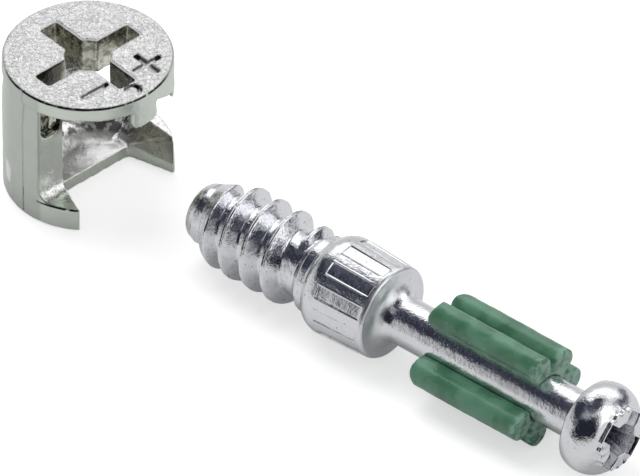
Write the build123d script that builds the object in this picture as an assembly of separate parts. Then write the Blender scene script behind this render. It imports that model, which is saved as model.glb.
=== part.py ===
from build123d import *
import os
from math import asin, cos, radians, sin, sqrt

# Furniture cam lock fitting, as a loose set: a die-cast cam housing that stands on its
# base, and a connecting bolt with a ribbed plastic sleeve that lies on the same surface.
# Millimetres, +Z up. The origin is the middle of the cam housing's base.
# The set's axes: X runs to the right and Y away from a person who looks at it.

# Cam housing, driving sizes
CAM_RADIUS = 6.0
CAM_HEIGHT = 11.05
DISC_THICKNESS = 1.15
DISC_STEP = 0.18
DISC_STEP_FALL = 2.0
DISC_STEP_START = 100.0
DISC_STEP_END = 282.0
FLOOR_THICKNESS = 1.0
BOLT_LINE_HEIGHT = 4.7
MOUTH_ANGLE = -48.5
EDGE_BREAK = 0.12

# Cam housing, the pocket that takes the bolt's head
HEAD_CLEARANCE = 0.11
ECCENTRICITY = 0.5
POCKET_SWELL_ANGLE = 75.0
POCKET_SWELL_ROOM = 0.5
POCKET_CORNER_RADIUS = 1.9

# Cam housing, the mouth and what stands round it
MOUTH_SETBACK = 1.3
LEFT_HORN_HEIGHT = 1.9
LEFT_HORN_BLEND = 1.1
RIGHT_HORN_HEIGHT = 2.6
RIGHT_HORN_INSIDE = 5.1
RIGHT_HORN_FOOT = 3.5
RIGHT_HORN_TOP_REACH = 2.9
RIGHT_HORN_TIP_REACH = 3.7
RIGHT_HORN_TIP_HEIGHT = 0.7
NOTCH_HALF_WIDTH = 3.45
NOTCH_SPREAD = 0.33
NOTCH_BACK = 0.2
NOTCH_CORNER_RADIUS = 0.5
CHANNEL_BACK = 1.0
GAP_BACK = 1.0
GAP_RAMP = 1.2
ROOF_REACH = 3.6
FLANGE_DROP = 1.85
FLANGE_SETBACK = 0.15
FLANGE_LEAD_DROP = 1.3
LUG_WIDTH = 2.2
LUG_OFFSET = 0.15
LUG_DROP = 1.5
LUG_DEPTH = 0.5
LUG_CORNER_RADIUS = 0.5
WINDOW_WIDTH = 1.75
WINDOW_HEIGHT = 2.85
WINDOW_DEPTH = 0.6
WINDOW_RIM = 0.2
WINDOW_CORNER_RADIUS = 0.6

# Cam housing, the slot that the bolt's shaft runs in
SLOT_CLEARANCE = 0.15
SLOT_START_ANGLE = 80.0
TURN_ANGLE = 125.0

# Cam housing, the cross recess in its disc
CROSS_SPAN = 8.4
CROSS_ARM_WIDTH = 1.44
CROSS_CENTRE_RADIUS = 1.62
CROSS_LEAD_IN = 0.12

# Connecting bolt, driving sizes; stations are measured from the shoulder
SHAFT_RADIUS = 1.75
HEAD_RADIUS = 3.36
HEAD_CENTRE = 24.4
HEAD_BACK_LENGTH = 0.95
HEAD_BACK_RADIUS = 3.15
HEAD_DOME_LENGTH = 1.7
HEAD_FACE_RADIUS = 2.4
HEAD_FACE_STEP = 0.3
HEAD_FACE_EDGE = 0.1
HEAD_NECK_CONE = 0.75
COLLAR_RADIUS = 3.68
COLLAR_END_RADIUS = 3.48
COLLAR_LENGTH = 5.9
COLLAR_SHOULDER_RADIUS = 1.5
COLLAR_EDGE_LENGTH = 0.22
COLLAR_FILLET = 1.2
RECESS_COUNT = 12
RECESS_WIDTH = 0.95
RECESS_DEPTH = 0.3
RECESS_START = 1.75
RECESS_LENGTH = 3.75
RECESS_TURN = 0.8
THREAD_CREST_RADIUS = 3.28
THREAD_CORE_RADIUS = 2.25
THREAD_LEAD = 1.9
THREAD_RIDGE_BASE = 1.7
THREAD_RIDGE_TOP = 0.2
THREAD_LENGTH = 10.0
THREAD_TURN = 297.0
THREAD_ROOT_SINK = 0.15
THREAD_SKIN = 0.06
THREAD_RUN_IN = 2.2
THREAD_RUN_OUT = 1.3
THREAD_END_SHIFT = 1.0
THREAD_END_DEPTH = 1.0
NECK_RADIUS = 2.9
NECK_LENGTH = 0.6
TIP_LENGTH = 0.8
TIP_RADIUS = 2.1
TIP_EDGE_RADIUS = 0.5

# Connecting bolt, the cross recess in its head
DRIVE_SPAN = 4.5
DRIVE_WING_WIDTH = 1.0
DRIVE_DEPTH = 2.1
DRIVE_TAPER = 14.0
DRIVE_CENTRE_RADIUS = 1.15
DRIVE_TURN = 43.0

# Ribbed sleeve
SLEEVE_LENGTH = 9.55
SLEEVE_START = 10.15
SLEEVE_FIT = 0.02
SLEEVE_WALL = 0.4
SLEEVE_GAP_TURN = 60.3
SLEEVE_OPENING = 62.0
RIB_PLACES = 7
RIB_TIP_RADIUS = 0.95
RIB_REACH = 3.75
RIB_ROOT_SHARE = 0.85
RIB_END_ROUND = 0.7

# Where the bolt lies: a point below its shoulder, and the way it points
BOLT_SHOULDER_X = 16.63
BOLT_SHOULDER_Y = -15.26
BOLT_DIRECTION = -40.4

# Sizes worked out from those above
disc_bottom = CAM_HEIGHT - DISC_THICKNESS
pocket_radius = HEAD_RADIUS + HEAD_CLEARANCE + POCKET_SWELL_ROOM
pocket_top = BOLT_LINE_HEIGHT + HEAD_RADIUS + HEAD_CLEARANCE
mouth_half_width = HEAD_RADIUS + HEAD_CLEARANCE
flange_bottom = disc_bottom - FLANGE_DROP
lug_bottom = disc_bottom - LUG_DROP
slot_half_height = SHAFT_RADIUS + SLOT_CLEARANCE
slot_low = BOLT_LINE_HEIGHT - slot_half_height
slot_high = BOLT_LINE_HEIGHT + slot_half_height
outside = 2 * CAM_RADIUS
thread_end = -NECK_LENGTH
thread_start = thread_end - THREAD_LENGTH
bolt_tip = thread_start - TIP_LENGTH
head_face = HEAD_CENTRE + HEAD_DOME_LENGTH + HEAD_FACE_STEP
head_back = HEAD_CENTRE - HEAD_BACK_LENGTH
recess_floor = COLLAR_RADIUS - RECESS_DEPTH


def at_angle(radius, angle):
    """A point in plan at a radius and an angle in degrees."""
    return (radius * cos(radians(angle)), radius * sin(radians(angle)))


def block(x0, x1, y0, y1, z0, z1):
    """A box between two corners."""
    return Pos(x0, y0, z0) * Box(x1 - x0, y1 - y0, z1 - z0, align=(Align.MIN,) * 3)


def sector(radius, start, end, z0, z1):
    """A pie slice of the plan between two angles, standing from z0 to z1."""
    middle = (start + end) / 2
    outline = Line((0, 0), at_angle(radius, start))
    outline += ThreePointArc(at_angle(radius, start), at_angle(radius, middle), at_angle(radius, end))
    outline += Line(at_angle(radius, end), (0, 0))
    return Pos(0, 0, z0) * extrude(make_face(outline), z1 - z0)


def cam_shell():
    """The solid casting, with the slight step that the back and left wall have under the disc."""
    shell = extrude(Circle(CAM_RADIUS), CAM_HEIGHT)
    shell = chamfer(shell.edges().filter_by(GeomType.CIRCLE), EDGE_BREAK)
    step = Polyline(
        (CAM_RADIUS, disc_bottom - DISC_STEP_FALL),
        (CAM_RADIUS - DISC_STEP, disc_bottom),
        (CAM_RADIUS, disc_bottom),
        close=True,
    )
    ring = revolve(Plane.XZ * make_face(step), Axis.Z, DISC_STEP_END - DISC_STEP_START)
    return shell - Rot(0, 0, DISC_STEP_START) * ring


def head_pocket():
    """The eccentric pocket that the bolt's head turns in, with a rounded floor and roof."""
    height = pocket_top - FLOOR_THICKNESS
    profile = Pos(pocket_radius / 2, FLOOR_THICKNESS + height / 2) * Rectangle(pocket_radius, height)
    corners = profile.vertices().group_by(Axis.X)[-1]
    profile = fillet(corners, POCKET_CORNER_RADIUS)
    pocket = revolve(Plane.XZ * profile, Axis.Z)
    x, y = at_angle(ECCENTRICITY, POCKET_SWELL_ANGLE)
    return Pos(x, y, 0) * pocket


def mouth_channel():
    """The way in for the bolt's head, open at the front, with a sloping right-hand side."""
    flange_inside = mouth_half_width + FLANGE_SETBACK
    outline = Polyline(
        (-mouth_half_width, FLOOR_THICKNESS),
        (RIGHT_HORN_FOOT, FLOOR_THICKNESS),
        (RIGHT_HORN_INSIDE, RIGHT_HORN_HEIGHT),
        (RIGHT_HORN_INSIDE, flange_bottom),
        (flange_inside, flange_bottom),
        (flange_inside, disc_bottom - FLANGE_LEAD_DROP),
        (LUG_OFFSET + LUG_WIDTH / 2, disc_bottom),
        (-mouth_half_width, disc_bottom),
        close=True,
    )
    section = Plane.YZ * make_face(outline)
    channel = Pos(-CHANNEL_BACK, 0, 0) * extrude(section, outside)
    return channel - block(-outside, ROOF_REACH, -outside, outside, pocket_top, disc_bottom)


def right_horn_face():
    """The right-hand horn's inner face in front of the notch, which runs down to a thin tip."""
    tip_side = NOTCH_HALF_WIDTH + NOTCH_SPREAD * (RIGHT_HORN_TIP_REACH - NOTCH_BACK)
    root = Vector(NOTCH_BACK, RIGHT_HORN_FOOT, FLOOR_THICKNESS)
    tip = Vector(RIGHT_HORN_TIP_REACH, tip_side, RIGHT_HORN_TIP_HEIGHT)
    top = Vector(RIGHT_HORN_TOP_REACH, RIGHT_HORN_INSIDE, RIGHT_HORN_HEIGHT)
    face = Plane(origin=root, z_dir=(tip - root).cross(top - root))
    slab = face * Box(outside, outside, outside, align=(Align.CENTER, Align.CENTER, Align.MIN))
    return slab & block(NOTCH_BACK, outside, 0, outside, 0, RIGHT_HORN_HEIGHT)


def right_opening():
    """The tall gap between the right-hand horn and the flange, closing in to the shaft slot."""
    outline = Polyline(
        (outside, RIGHT_HORN_HEIGHT),
        (-GAP_BACK, RIGHT_HORN_HEIGHT),
        (-GAP_BACK - GAP_RAMP, slot_low),
        (-GAP_BACK - GAP_RAMP, slot_high),
        (-GAP_BACK, flange_bottom),
        (outside, flange_bottom),
        close=True,
    )
    section = Plane.XZ * make_face(outline)
    return extrude(section, -outside)


def left_opening():
    """The gap over the left-hand horn, in front of the wall's end face."""
    opening = block(MOUTH_SETBACK, outside, -outside, 0, LEFT_HORN_HEIGHT, disc_bottom)
    foot = opening.edges().filter_by(Axis.Y).group_by(Axis.Z)[0].sort_by(Axis.X)[0]
    return fillet(foot, LEFT_HORN_BLEND)


def floor_notch():
    """The notch in the floor between the two horns, wider at the rim."""
    left = NOTCH_HALF_WIDTH + NOTCH_SPREAD * (outside - MOUTH_SETBACK)
    right = NOTCH_HALF_WIDTH + NOTCH_SPREAD * (outside - NOTCH_BACK)
    outline = Polyline(
        (NOTCH_BACK, -NOTCH_HALF_WIDTH),
        (MOUTH_SETBACK, -NOTCH_HALF_WIDTH),
        (outside, -left),
        (outside, right),
        (NOTCH_BACK, NOTCH_HALF_WIDTH),
        close=True,
    )
    face = make_face(outline)
    inner_corner = face.vertices().group_by(Axis.X)[0].sort_by(Axis.Y)[-1]
    face = fillet(inner_corner, NOTCH_CORNER_RADIUS)
    return extrude(face, LEFT_HORN_HEIGHT + LEFT_HORN_BLEND)


def shaft_slot():
    """The slot round the rim that the bolt's shaft runs in as the cam turns."""
    slot = sector(outside, SLOT_START_ANGLE, TURN_ANGLE, slot_low, slot_high)
    x, y = at_angle(outside, TURN_ANGLE)
    end = Plane(origin=(0, 0, BOLT_LINE_HEIGHT), z_dir=(x, y, 0)) * Cylinder(
        slot_half_height, outside, align=(Align.CENTER, Align.CENTER, Align.MIN)
    )
    return slot + end


def wall_window():
    """The shallow hollow high in the left-hand wall's end face, open under the disc."""
    side = -mouth_half_width - WINDOW_RIM
    low = disc_bottom - WINDOW_HEIGHT
    window = block(MOUTH_SETBACK - WINDOW_DEPTH, outside, side - WINDOW_WIDTH, side, low, disc_bottom)
    corners = window.edges().filter_by(Axis.X).group_by(Axis.Z)[0]
    return fillet(corners, WINDOW_CORNER_RADIUS)


def mouth_lug():
    """The small lug that hangs from the disc's rim over the middle of the mouth."""
    start = LUG_OFFSET - LUG_WIDTH / 2
    lug = block(CAM_RADIUS - LUG_DEPTH, outside, start, start + LUG_WIDTH, lug_bottom, disc_bottom)
    corners = lug.edges().filter_by(Axis.X).group_by(Axis.Z)[0]
    lug = fillet(corners, LUG_CORNER_RADIUS)
    return lug & extrude(Circle(CAM_RADIUS), CAM_HEIGHT)


def cross_recess():
    """The through cross for the screwdriver, with a round middle and a lead-in."""
    arm = Rectangle(CROSS_SPAN, CROSS_ARM_WIDTH)
    cross = arm + Rot(0, 0, 90) * arm + Circle(CROSS_CENTRE_RADIUS)
    through = Pos(0, 0, BOLT_LINE_HEIGHT) * extrude(cross, CAM_HEIGHT)
    wide = Pos(0, 0, CAM_HEIGHT) * offset(cross, CROSS_LEAD_IN, kind=Kind.INTERSECTION)
    return through + extrude(wide, -CROSS_LEAD_IN, taper=45)


def cam_housing():
    """The one-piece zinc casting, turned so that its mouth faces the bolt."""
    casting = cam_shell()
    casting -= head_pocket()
    casting -= mouth_channel()
    casting -= right_horn_face()
    casting -= right_opening()
    casting -= left_opening()
    casting -= floor_notch()
    casting -= shaft_slot()
    casting -= wall_window()
    casting -= cross_recess()
    casting += mouth_lug()
    return Rot(0, 0, MOUTH_ANGLE) * casting


def tangent_arc(radius, station, fall, length):
    """The arc that leaves (radius, station) along the axis and falls inwards over a length."""
    bend = (fall ** 2 + length ** 2) / (2 * fall)
    half = asin(abs(length) / bend) / 2
    middle = (radius - bend * (1 - cos(half)), station + bend * sin(half) * length / abs(length))
    return ThreePointArc((radius, station), middle, (radius - fall, station + length))


def head_outline():
    """The head's outline from its back: the rounded rim, the dome and the low raised face."""
    dome_end = HEAD_CENTRE + HEAD_DOME_LENGTH
    line = tangent_arc(HEAD_RADIUS, HEAD_CENTRE, HEAD_RADIUS - HEAD_BACK_RADIUS, -HEAD_BACK_LENGTH)
    line += tangent_arc(HEAD_RADIUS, HEAD_CENTRE, HEAD_RADIUS - HEAD_FACE_RADIUS, HEAD_DOME_LENGTH)
    line += Polyline(
        (HEAD_FACE_RADIUS, dome_end),
        (HEAD_FACE_RADIUS, head_face - HEAD_FACE_EDGE),
        (HEAD_FACE_RADIUS - HEAD_FACE_EDGE, head_face),
        (0, head_face),
        (0, bolt_tip),
    )
    return line


def bolt_blank():
    """The turned blank, about +Z: tip, thread core, neck, collar, shaft and rounded head."""
    rise = COLLAR_RADIUS - NECK_RADIUS
    run = sqrt(COLLAR_SHOULDER_RADIUS ** 2 - (COLLAR_SHOULDER_RADIUS - rise) ** 2)
    half_turn = asin(run / COLLAR_SHOULDER_RADIUS) / 2
    shoulder_middle = (
        COLLAR_RADIUS - COLLAR_SHOULDER_RADIUS * (1 - cos(half_turn)),
        run - COLLAR_SHOULDER_RADIUS * sin(half_turn),
    )
    edge_start = COLLAR_LENGTH - COLLAR_EDGE_LENGTH
    face_edge = COLLAR_END_RADIUS - COLLAR_EDGE_LENGTH
    fillet_top = SHAFT_RADIUS + COLLAR_FILLET
    fillet_end = COLLAR_LENGTH + COLLAR_FILLET
    line = Polyline(
        (0, bolt_tip),
        (TIP_RADIUS - TIP_EDGE_RADIUS, bolt_tip),
        (TIP_RADIUS, bolt_tip + TIP_EDGE_RADIUS),
        (THREAD_CORE_RADIUS, thread_start),
        (THREAD_CORE_RADIUS, thread_end - NECK_RADIUS + THREAD_CORE_RADIUS),
        (NECK_RADIUS, thread_end),
        (NECK_RADIUS, 0),
    )
    line += ThreePointArc((NECK_RADIUS, 0), shoulder_middle, (COLLAR_RADIUS, run))
    line += Polyline(
        (COLLAR_RADIUS, run),
        (COLLAR_END_RADIUS, edge_start),
        (face_edge, COLLAR_LENGTH),
        (fillet_top, COLLAR_LENGTH),
    )
    line += Bezier((fillet_top, COLLAR_LENGTH), (SHAFT_RADIUS, COLLAR_LENGTH), (SHAFT_RADIUS, fillet_end))
    line += Polyline(
        (SHAFT_RADIUS, fillet_end),
        (SHAFT_RADIUS, head_back - HEAD_NECK_CONE),
        (HEAD_BACK_RADIUS, head_back),
    )
    line += head_outline()
    return revolve(Plane.XZ * make_face(line), Axis.Z)


def thread_surround():
    """What the ridge is trimmed by: outside a run-in, a straight stretch and a run-out."""
    outline = Polyline(
        (THREAD_CORE_RADIUS + THREAD_SKIN, thread_start),
        (THREAD_CREST_RADIUS, thread_start + THREAD_RUN_IN),
        (THREAD_CREST_RADIUS, thread_end - THREAD_RUN_OUT),
        (NECK_RADIUS + THREAD_SKIN, thread_end),
        (2 * THREAD_CREST_RADIUS, thread_end),
        (2 * THREAD_CREST_RADIUS, thread_start),
        close=True,
    )
    return revolve(Plane.XZ * make_face(outline), Axis.Z)


def thread_ridge():
    """The helical ridge, rooted in the core and a little higher than the trimmed crest."""
    root = THREAD_CORE_RADIUS - THREAD_ROOT_SINK
    rise = THREAD_CREST_RADIUS + THREAD_SKIN - root
    path = Helix(THREAD_LEAD, THREAD_LENGTH - THREAD_RIDGE_BASE, root)
    section = Polyline(
        (0, -THREAD_RIDGE_BASE / 2),
        (rise, -THREAD_RIDGE_TOP / 2),
        (rise, THREAD_RIDGE_TOP / 2),
        (0, THREAD_RIDGE_BASE / 2),
        close=True,
    )
    profile = Plane(origin=path @ 0, x_dir=(1, 0, 0), z_dir=path % 0) * make_face(section)
    ridge = sweep(profile, path=path, is_frenet=True) - ridge_end(path @ 1)
    return Pos(0, 0, thread_start + THREAD_RIDGE_BASE / 2) * (Rot(0, 0, THREAD_TURN) * ridge)


def ridge_end(last):
    """What the ridge's last stretch is trimmed by, so that it fades out towards its end point."""
    across = Vector(last.X, last.Y, 0).normalized() * THREAD_END_SHIFT
    crest = THREAD_CREST_RADIUS + THREAD_SKIN
    low = last.Z - THREAD_END_DEPTH
    ring = extrude(Circle(2 * crest) - Pos(-across.X, -across.Y) * Circle(crest), 2 * THREAD_RIDGE_BASE)
    return Pos(0, 0, low) * ring


def collar_recesses():
    """The flat-floored recesses round the collar, which fade out as the collar tapers."""
    recess = Pos(recess_floor, 0, RECESS_START) * Box(
        COLLAR_RADIUS, RECESS_WIDTH, RECESS_LENGTH, align=(Align.MIN, Align.CENTER, Align.MIN)
    )
    pitch = 360 / RECESS_COUNT
    return [Rot(0, 0, RECESS_TURN + pitch * place) * recess for place in range(RECESS_COUNT)]


def head_recess():
    """The cross recess in the head's face, its wings narrowing as they go down."""
    wing = Rectangle(DRIVE_SPAN, DRIVE_WING_WIDTH)
    cross = wing + Rot(0, 0, 90) * wing + Circle(DRIVE_CENTRE_RADIUS)
    face = Plane(origin=(0, 0, head_face), z_dir=(0, 0, -1)) * (Rot(0, 0, -DRIVE_TURN) * cross)
    return extrude(face, DRIVE_DEPTH, taper=DRIVE_TAPER)


def lie_down(part):
    """Lay a piece built about +Z where the bolt lies, its +X side upwards."""
    x, y = at_angle(1, BOLT_DIRECTION)
    shoulder = (BOLT_SHOULDER_X, BOLT_SHOULDER_Y, COLLAR_RADIUS)
    return Plane(origin=shoulder, x_dir=(0, 0, 1), z_dir=(x, y, 0)).location * part


def connecting_bolt():
    """The one-piece steel bolt: its blank, its thread, its collar recesses and its head recess."""
    bolt = bolt_blank() + thread_ridge() - thread_surround()
    for recess in collar_recesses():
        bolt -= recess
    return lie_down(bolt - head_recess())


def rib_sleeve():
    """The moulded sleeve: a split ring on the shaft, with ribs at all places but the split."""
    bore = SHAFT_RADIUS + SLEEVE_FIT
    ring = Circle(bore + SLEEVE_WALL)
    rib_centre = RIB_REACH - RIB_TIP_RADIUS
    rib = Pos(rib_centre, 0) * Circle(RIB_TIP_RADIUS)
    rib += Pos(rib_centre / 2, 0) * Rectangle(rib_centre, 2 * RIB_TIP_RADIUS * RIB_ROOT_SHARE)
    for place in range(1, RIB_PLACES):
        ring += Rot(0, 0, 360 * place / RIB_PLACES) * rib
    ring -= Circle(bore)
    beyond = 2 * RIB_REACH
    half = SLEEVE_OPENING / 2
    ring -= make_face(Polyline((0, 0), at_angle(beyond, -half), at_angle(beyond, half), close=True))
    sleeve = extrude(ring, SLEEVE_LENGTH)
    sleeve &= sleeve_envelope()
    return lie_down(Pos(0, 0, SLEEVE_START) * (Rot(0, 0, SLEEVE_GAP_TURN) * sleeve))


def sleeve_envelope():
    """The turned shape that rounds the ribs' outer corners at the sleeve's first end."""
    side = RIB_REACH - RIB_END_ROUND
    line = Polyline(
        (side, 0),
        (0, 0),
        (0, SLEEVE_LENGTH),
        (RIB_REACH, SLEEVE_LENGTH),
        (RIB_REACH, RIB_END_ROUND),
    )
    line += Bezier((RIB_REACH, RIB_END_ROUND), (RIB_REACH, 0), (side, 0))
    return revolve(Plane.XZ * make_face(line), Axis.Z)


def main():
    os.makedirs("parts", exist_ok=True)
    parts = {
        "cam_housing": cam_housing(),
        "connecting_bolt": connecting_bolt(),
        "rib_sleeve": rib_sleeve(),
    }
    for name, part in parts.items():
        export_step(part, f"parts/{name}.step")


main()
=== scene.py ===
"""Looks of the furniture cam lock fitting: a die-cast cam housing, and a plated connecting
bolt with a green ribbed sleeve, on a pale floor. Lengths are in millimetres until they go
into a mesh, a lamp or the camera, which are in metres."""
from math import cos, pi, radians, sin

import bmesh
import bpy
import numpy as np
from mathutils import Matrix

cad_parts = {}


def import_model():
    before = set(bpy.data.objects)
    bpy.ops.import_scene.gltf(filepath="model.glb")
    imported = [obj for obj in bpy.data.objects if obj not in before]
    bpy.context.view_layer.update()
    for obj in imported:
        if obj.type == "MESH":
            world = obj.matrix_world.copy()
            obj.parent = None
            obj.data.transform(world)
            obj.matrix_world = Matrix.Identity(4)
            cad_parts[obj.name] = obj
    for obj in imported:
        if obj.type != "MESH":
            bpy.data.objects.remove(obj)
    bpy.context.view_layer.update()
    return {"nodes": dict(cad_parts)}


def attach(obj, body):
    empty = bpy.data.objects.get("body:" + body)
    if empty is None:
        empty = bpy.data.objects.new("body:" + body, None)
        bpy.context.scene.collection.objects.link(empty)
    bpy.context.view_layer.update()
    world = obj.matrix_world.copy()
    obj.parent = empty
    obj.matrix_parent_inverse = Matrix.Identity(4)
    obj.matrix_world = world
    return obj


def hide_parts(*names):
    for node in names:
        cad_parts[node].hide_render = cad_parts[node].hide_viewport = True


MM = 0.001
DEGREE = pi / 180

# Where the bolt lies, and the sizes of it that its surfaces are drawn from
SHOULDER = np.array((16.63, -15.26, 3.68))
BOLT_TURN = radians(-40.4)
ALONG = np.array((cos(BOLT_TURN), sin(BOLT_TURN), 0.0))
UP = np.array((0.0, 0.0, 1.0))
SIDE = np.array((sin(BOLT_TURN), -cos(BOLT_TURN), 0.0))
TIP = -11.4
TIP_RADIUS = 1.6
TIP_EDGE = 0.5
THREAD_START = -10.6
THREAD_END = -0.6
CORE = 2.25
NECK = 2.9
CREST = 3.28
CREST_HALF = 0.16
LEAD = 1.9
FLANK_TOP = 3.34
FLANK_TOP_REACH = 0.10
FLANK_SLOPE = 1.29 / 0.76
RIDGE_START = -9.75
RIDGE_TURN = radians(297.0)
RIDGE_TURNS = 4.37
COLLAR = 3.68
COLLAR_END = 3.48
COLLAR_LENGTH = 5.9
COLLAR_SHOULDER = 1.5
COLLAR_EDGE = 0.3
COLLAR_FLOOR = 3.38
RECESSES = 12
RECESS_TURN = radians(0.8)
SHAFT = 1.75
FILLET = 1.2
HEAD_CENTRE = 24.4
HEAD_BACK = 23.45
HEAD_CONE = 0.75
HEAD_RADIUS = 3.36
HEAD_BACK_RADIUS = 3.15
HEAD_DOME = 1.7
FACE_RADIUS = 2.4
FACE_STEP = 0.3
FACE_EDGE = 0.1
FACE = HEAD_CENTRE + HEAD_DOME + FACE_STEP
CRIMPS = 20

# The cross recess in the bolt's head
DRIVE_TURN = radians(43.0)
DRIVE_WING_HALF = 0.66
DRIVE_WING_REACH = 2.25
DRIVE_MIDDLE = 1.35
DRIVE_TAPER = radians(14.0)
DRIVE_DEPTH = 2.1

# The cam housing's disc, where its signs are engraved, how far round each middle a sign
# reaches, and where a painted shadow spot darkens the far end of each stroke
DISC_TOP = 11.05
MINUS = (0.51, -3.89)
PLUS = (4.08, -0.95)
HOOK = (3.15, -3.82)
SIGN_REACHES = ((*MINUS, 1.5), (*PLUS, 1.5), (*HOOK, 0.78))
SIGN_SHADOW_SPOTS = ((1.38, -3.14), (4.87, -0.22), (3.40, -0.12), (3.36, -3.40))
SIGN_SHADOW_RADIUS = 0.24
SIGN_TURN = radians(41.5)
SIGN_DEPTH = 0.30

# The middle of the set on the floor, which lamps and surroundings are placed about
STAGE_MIDDLE = (14.0, -12.0, 0.0)


def smooth(edge0, edge1, x):
    """A smooth step from 0 at edge0 to 1 at edge1, 3t^2 - 2t^3."""
    t = np.clip((x - edge0) / (edge1 - edge0), 0.0, 1.0)
    return t * t * (3.0 - 2.0 * t)


def soft_max(a, b, blend):
    """The larger of a and b, rounded where they are within blend of each other."""
    h = np.clip(0.5 + 0.5 * (a - b) / blend, 0.0, 1.0)
    return b + (a - b) * h + blend * h * (1.0 - h)


def lattice(ix, iy, iz, seed):
    """A repeatable random number from -1 to 1 for each corner of a unit lattice."""
    n = (ix * 374761393 + iy * 668265263 + iz * 2147483647 + seed * 1274126177) & 0xFFFFFFFF
    n = ((n ^ (n >> 13)) * 1103515245) & 0xFFFFFFFF
    n = ((n ^ (n >> 16)) * 12345677) & 0xFFFFFFFF
    return (n / 0xFFFFFFFF) * 2.0 - 1.0


def noise(points, size, seed=1):
    """Smooth random values from -1 to 1 in space: lattice values at corners that are size
    millimetres apart, joined by smooth steps along the three axes."""
    p = points / size
    low = np.floor(p).astype(np.int64)
    t = p - low
    t = t * t * (3.0 - 2.0 * t)
    total = 0.0
    for corner in range(8):
        dx, dy, dz = corner & 1, (corner >> 1) & 1, (corner >> 2) & 1
        weight = (t[..., 0] if dx else 1 - t[..., 0]) * (t[..., 1] if dy else 1 - t[..., 1])
        weight = weight * (t[..., 2] if dz else 1 - t[..., 2])
        total = total + weight * lattice(low[..., 0] + dx, low[..., 1] + dy, low[..., 2] + dz, seed)
    return total


def on_bolt(radius, turn, station):
    """The point at a radius, a turn from straight up towards the viewer and a station along
    the bolt: shoulder + station * along + radius * (cos turn * up + sin turn * side)."""
    radius, turn, station = np.broadcast_arrays(radius, turn, station)
    across = np.cos(turn)[..., None] * UP + np.sin(turn)[..., None] * SIDE
    return SHOULDER + station[..., None] * ALONG + radius[..., None] * across


def grid_faces(rows, cols, shift=0):
    """Quads of a grid of points; the last column joins the first, shift rows further on."""
    r, c = np.meshgrid(np.arange(rows - 1 - shift), np.arange(cols), indexing="ij")
    over = (c + 1) // cols
    right = (c + 1) % cols
    a = r * cols + c
    b = (r + over * shift) * cols + right
    return np.stack((a, b, b + cols, a + cols), axis=-1).reshape(-1, 4)


def close_poles(mesh):
    """Points that lie in one place become one point, so that a surface is closed at its pole."""
    work = bmesh.new()
    work.from_mesh(mesh)
    bmesh.ops.remove_doubles(work, verts=work.verts, dist=1e-5 * MM)
    work.to_mesh(mesh)
    work.free()


def make_piece(name, points, faces, material, body):
    """A smooth-shaded mesh object from points in millimetres and quads. With a body it rides
    on it; without one it only stands in the scene."""
    points = np.ascontiguousarray(points.reshape(-1, 3) * MM, dtype=np.float32)
    mesh = bpy.data.meshes.new(name)
    mesh.vertices.add(len(points))
    mesh.vertices.foreach_set("co", points.ravel())
    mesh.loops.add(faces.size)
    mesh.loops.foreach_set("vertex_index", faces.astype(np.int32).ravel())
    mesh.polygons.add(len(faces))
    mesh.polygons.foreach_set("loop_start", np.arange(0, faces.size, 4, dtype=np.int32))
    mesh.update(calc_edges=True)
    mesh.validate()
    close_poles(mesh)
    mesh.polygons.foreach_set("use_smooth", np.ones(len(mesh.polygons), dtype=bool))
    mesh.materials.append(material)
    piece = bpy.data.objects.new(name, mesh)
    bpy.context.collection.objects.link(piece)
    if body:
        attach(piece, body)
    return piece


# Materials

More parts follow.
